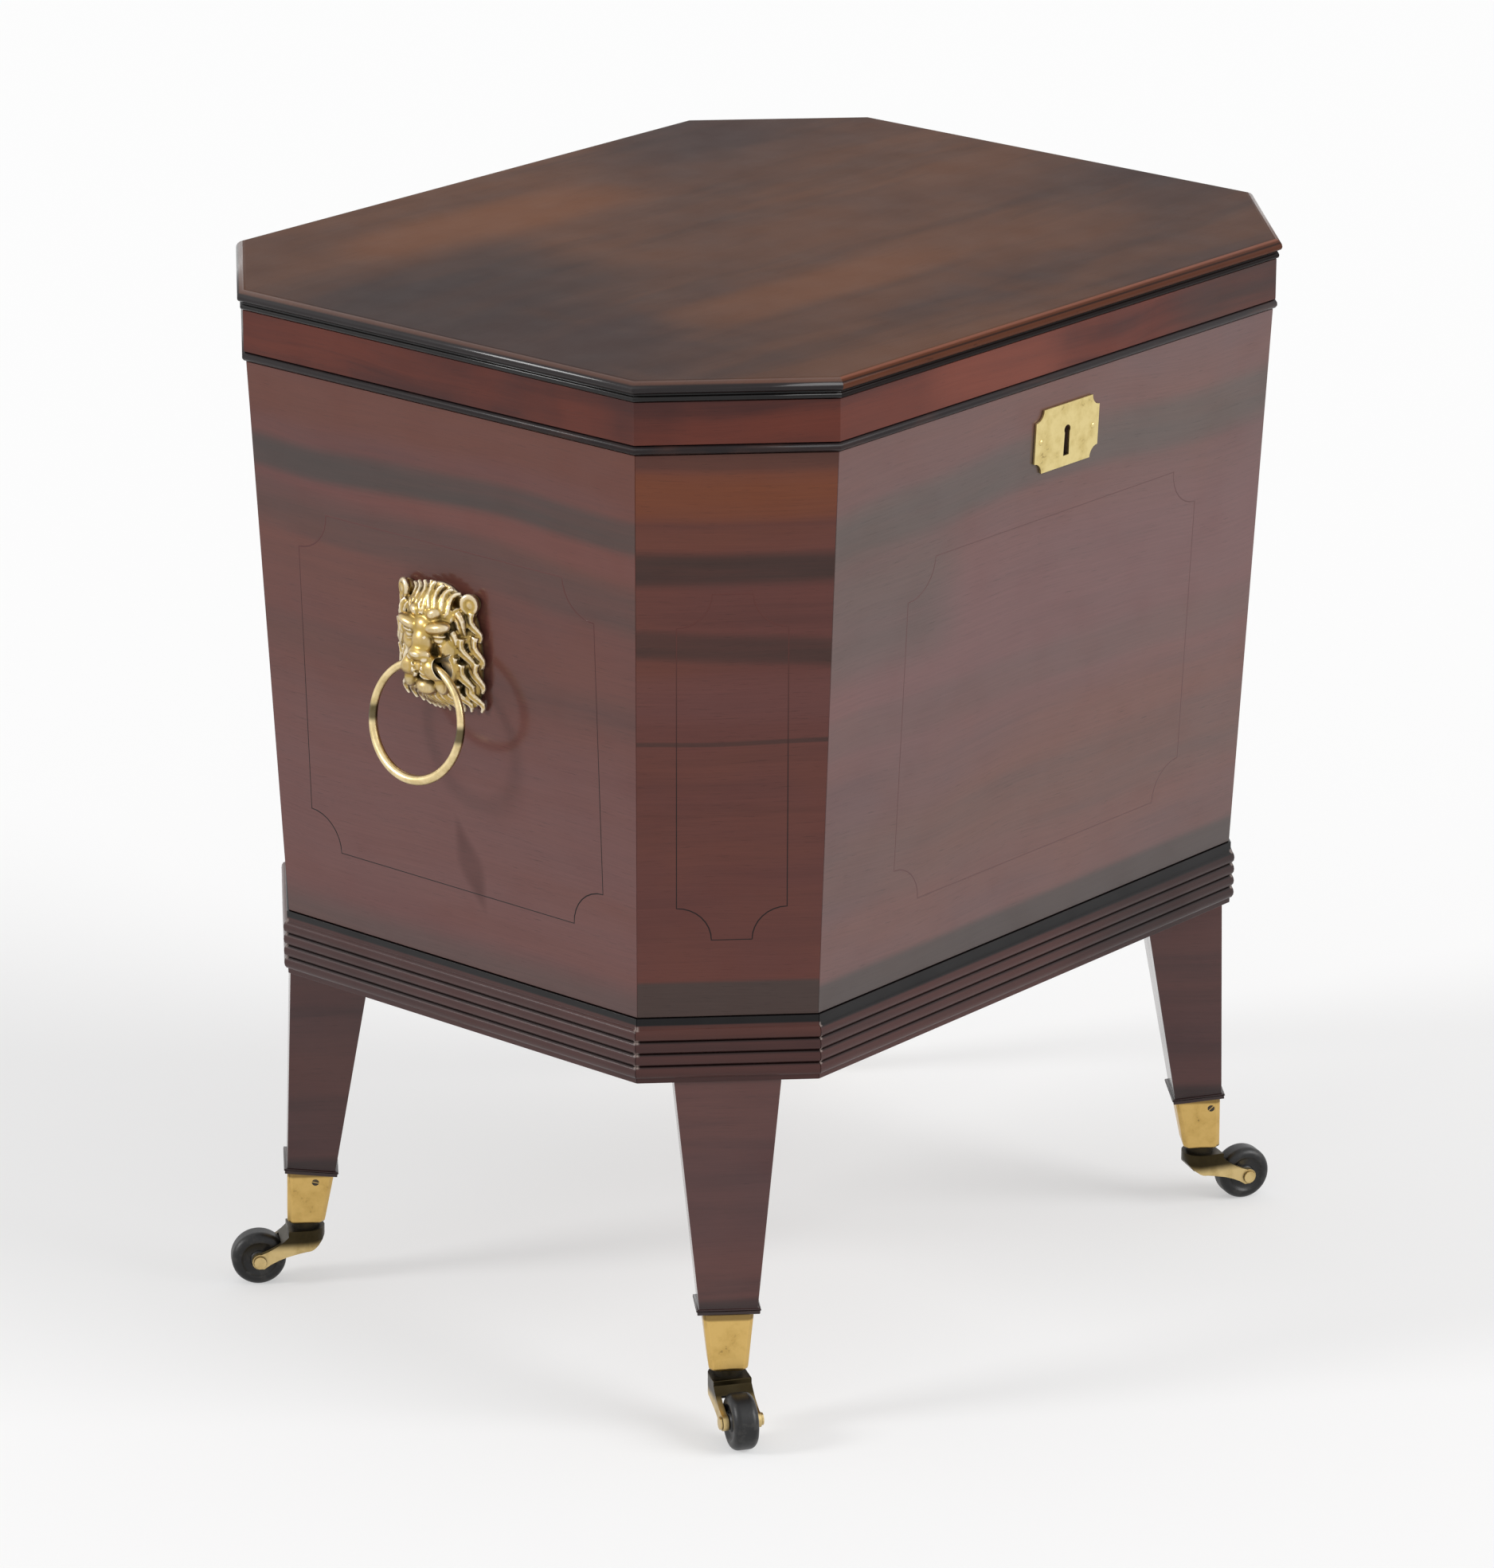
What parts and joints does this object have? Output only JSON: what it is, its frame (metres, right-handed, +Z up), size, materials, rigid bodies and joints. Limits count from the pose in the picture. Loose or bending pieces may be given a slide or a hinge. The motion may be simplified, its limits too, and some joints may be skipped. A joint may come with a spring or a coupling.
{
  "type": "cellarette",
  "caption": "Eight-sided tapered wine cooler on splayed legs, with a hinged lid, reeded base, lion-mask ring handles, a lock and brass casters.",
  "frame": {"origin": "on the floor, at the middle of the part's bounding box seen from above", "axes": "+Z up, -Y towards the front with the keyhole, +X to the right as seen from the front"},
  "size_m": [0.5926, 0.449, 0.613],
  "materials": {
    "mahogany": "french polished mahogany",
    "crossbanding": "french polished mahogany",
    "ebonised": "ebonised and polished",
    "carcase": "bare wood",
    "brass": "worn, half polished",
    "caster": "blackened, worn on the tread",
    "zinc": "dull sheet metal"
  },
  "bodies": {
    "case": {"base_back": "crossbanding", "base_cant_back_left": "crossbanding", "base_cant_back_right": "crossbanding", "base_cant_front_left": "crossbanding", "base_cant_front_right": "crossbanding", "base_front": "crossbanding", "base_left": "crossbanding", "base_right": "crossbanding", "case_back": "mahogany", "case_bottom": "carcase", "case_cant_back_left": "mahogany", "case_cant_back_right": "mahogany", "case_cant_front_left": "mahogany", "case_cant_front_right": "mahogany", "case_front": "mahogany", "case_left": "mahogany", "case_right": "mahogany", "caster_cup_back_left": "brass", "caster_cup_back_right": "brass", "caster_cup_front_left": "brass", "caster_cup_front_right": "brass", "divider_cross_left": "carcase", "divider_cross_middle": "carcase", "divider_cross_right": "carcase", "divider_long_back": "carcase", "divider_long_front": "carcase", "escutcheon": "brass", "hinge_case_leaf_left": "brass", "hinge_case_leaf_right": "brass", "hinge_pin_left": "brass", "hinge_pin_right": "brass", "leg_back_left": "mahogany", "leg_back_right": "mahogany", "leg_front_left": "mahogany", "leg_front_right": "mahogany", "liner": "zinc", "lion_mask_left": "brass", "lion_mask_right": "brass", "lock_case": "brass"},
    "lid": {"lid_top": "mahogany", "lid_frieze": "crossbanding", "lid_bead": "ebonised", "hinge_lid_leaf_left": "brass", "hinge_lid_leaf_right": "brass", "lock_link_plate": "brass"},
    "bolt": {"lock_bolt": "brass"},
    "ring_left": {"handle_ring_left": "brass"},
    "ring_right": {"handle_ring_right": "brass"},
    "horn_front_right": {"caster_horn_front_right": "brass", "caster_axle_front_right": "brass"},
    "wheel_front_right": {"caster_wheel_front_right": "caster"},
    "horn_back_right": {"caster_horn_back_right": "brass", "caster_axle_back_right": "brass"},
    "wheel_back_right": {"caster_wheel_back_right": "caster"},
    "horn_back_left": {"caster_horn_back_left": "brass", "caster_axle_back_left": "brass"},
    "wheel_back_left": {"caster_wheel_back_left": "caster"},
    "horn_front_left": {"caster_horn_front_left": "brass", "caster_axle_front_left": "brass"},
    "wheel_front_left": {"caster_wheel_front_left": "caster"}
  },
  "joints": [
    {"name": "lid_hinge", "type": "hinge", "parent": "case", "child": "lid", "pos_m": [0, 0.2215, 0.57183], "axis": [-1, 0, 0], "range_deg": [0, 95]},
    {"name": "bolt_slide", "type": "slide", "parent": "case", "child": "bolt", "axis": [1, 0, 0], "range_m": [0, 0.007]},
    {"name": "ring_left_swing", "type": "hinge", "parent": "case", "child": "ring_left", "pos_m": [-0.28157, 0, 0.43002], "axis": [0, 1, 0], "range_deg": [0, 95]},
    {"name": "ring_right_swing", "type": "hinge", "parent": "case", "child": "ring_right", "pos_m": [0.28157, 0, 0.43002], "axis": [0, -1, 0], "range_deg": [0, 95]},
    {"name": "swivel_front_right", "type": "hinge", "parent": "case", "child": "horn_front_right", "pos_m": [0.21742, -0.16327, 0.038], "axis": [0, 0, 1], "continuous": true},
    {"name": "spin_front_right", "type": "hinge", "parent": "horn_front_right", "child": "wheel_front_right", "pos_m": [0.2425, -0.17616, 0.016], "axis": [0.4571, 0.8894, 0], "continuous": true},
    {"name": "swivel_back_right", "type": "hinge", "parent": "case", "child": "horn_back_right", "pos_m": [0.21742, 0.16327, 0.038], "axis": [0, 0, 1], "continuous": true},
    {"name": "spin_back_right", "type": "hinge", "parent": "horn_back_right", "child": "wheel_back_right", "pos_m": [0.23066, 0.18817, 0.016], "axis": [-0.8829, 0.4695, 0], "continuous": true},
    {"name": "swivel_back_left", "type": "hinge", "parent": "case", "child": "horn_back_left", "pos_m": [-0.21742, 0.16327, 0.038], "axis": [0, 0, 1], "continuous": true},
    {"name": "spin_back_left", "type": "hinge", "parent": "horn_back_left", "child": "wheel_back_left", "pos_m": [-0.23896, 0.18147, 0.016], "axis": [-0.6455, -0.7638, 0], "continuous": true},
    {"name": "swivel_front_left", "type": "hinge", "parent": "case", "child": "horn_front_left", "pos_m": [-0.21742, -0.16327, 0.038], "axis": [0, 0, 1], "continuous": true},
    {"name": "spin_front_left", "type": "hinge", "parent": "horn_front_left", "child": "wheel_front_left", "pos_m": [-0.23315, -0.18668, 0.016], "axis": [0.83, -0.5577, 0], "continuous": true}
  ]
}
